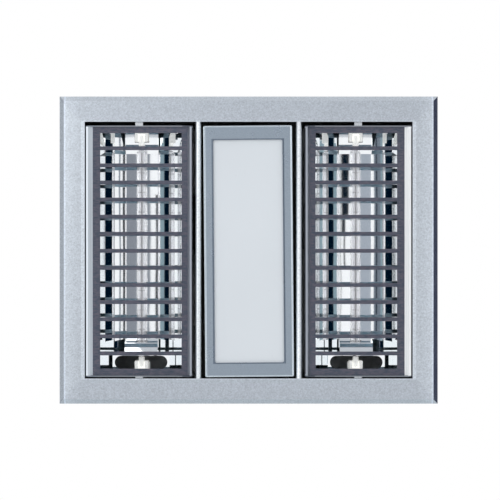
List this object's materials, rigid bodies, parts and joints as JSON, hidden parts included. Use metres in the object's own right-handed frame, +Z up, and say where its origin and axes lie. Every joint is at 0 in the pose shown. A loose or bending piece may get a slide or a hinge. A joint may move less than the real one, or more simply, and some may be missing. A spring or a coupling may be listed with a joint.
{
  "type": "ceiling heater with light and exhaust fan",
  "caption": "Recessed bathroom ceiling unit: silver fascia, two tilting barred heat-lamp heads, a central light panel and a ducted exhaust fan in a sheet housing.",
  "frame": {"origin": "centre of the four flange screws, in the plane of the ceiling's underside", "axes": "+Z up into the roof void, -Z down into the room, +X towards the duct spigot, +Y along the heads towards the end with the stadium cuts"},
  "size_m": [0.413, 0.325, 0.1845],
  "materials": {
    "fascia_paint": "silver metallic paint, satin",
    "rail_silver": "satin anodised",
    "dark_steel": "dark, brushed across the head",
    "mirror_aluminium": "mirror polished",
    "quartz": "clear",
    "tungsten": "dull wire",
    "ceramic": "unglazed white",
    "zinc": "bright zinc plate",
    "galvanised": "galvanised sheet with faint spangle",
    "light_paint": "silver grey, satin",
    "opal": "opal acrylic, satin",
    "board_white": "white solder mask",
    "led_yellow": "phosphor",
    "spring_steel": "bright",
    "pale_plastic": "moulded",
    "black_plastic": "moulded",
    "motor_paint": "black enamel",
    "laminations": "stacked sheet",
    "copper": "enamelled wire",
    "rubber_black": "moulded"
  },
  "bodies": {
    "housing_body": {"fascia": "fascia_paint", "fascia_clips": "spring_steel", "housing": "galvanised", "top_cover": "galvanised", "case_screws": "zinc", "pivot_ears": "zinc", "centre_rails": "galvanised", "light_frame": "light_paint", "diffuser": "opal", "led_board": "board_white", "led_chips": "led_yellow", "light_tray": "galvanised", "light_springs": "spring_steel", "driver_plate": "galvanised", "led_driver": "pale_plastic", "scroll": "pale_plastic", "scroll_base": "pale_plastic", "outlet_duct": "pale_plastic", "spigot": "pale_plastic", "spigot_screws": "zinc", "motor_case": "motor_paint", "stator": "laminations", "windings": "copper", "motor_bearings": "spring_steel", "rubber_mounts": "rubber_black", "motor_screws": "zinc", "capacitor": "pale_plastic", "terminal_box": "black_plastic", "terminal_cover": "black_plastic", "terminal_block": "pale_plastic", "cable_gland": "black_plastic", "wire_grommet": "rubber_black"},
    "fan": {"impeller": "black_plastic", "rotor_shaft": "laminations", "impeller_nut": "zinc"},
    "flap_body": {"flap": "rail_silver", "flap_pin": "zinc"},
    "left_head": {"left_frame": "rail_silver", "left_grille": "dark_steel", "left_reflector": "mirror_aluminium", "left_lamp_tube": "quartz", "left_filament": "tungsten", "left_lamp_caps": "ceramic", "left_holders": "ceramic", "left_brackets": "zinc", "left_holder_screws": "zinc", "left_pivot_pins": "zinc", "left_cutout": "black_plastic"},
    "right_head": {"right_frame": "rail_silver", "right_grille": "dark_steel", "right_reflector": "mirror_aluminium", "right_lamp_tube": "quartz", "right_filament": "tungsten", "right_lamp_caps": "ceramic", "right_holders": "ceramic", "right_brackets": "zinc", "right_holder_screws": "zinc", "right_pivot_pins": "zinc", "right_cutout": "black_plastic"}
  },
  "joints": [
    {"name": "left_tilt", "type": "hinge", "parent": "housing_body", "child": "left_head", "pos_m": [-0.1158, 0.00115, -0.0015], "axis": [0, 1, 0], "range_deg": [-20, 20]},
    {"name": "right_tilt", "type": "hinge", "parent": "housing_body", "child": "right_head", "pos_m": [0.1158, 0.00115, -0.0015], "axis": [0, 1, 0], "range_deg": [-20, 20]},
    {"name": "fan_spin", "type": "hinge", "parent": "housing_body", "child": "fan", "pos_m": [-0.025, -0.03, 0.1], "axis": [0, 0, 1], "continuous": true},
    {"name": "flap_swing", "type": "hinge", "parent": "housing_body", "child": "flap_body", "pos_m": [0.187, 0.04437, 0.102], "axis": [0, -1, 0], "range_deg": [0, 75]}
  ]
}
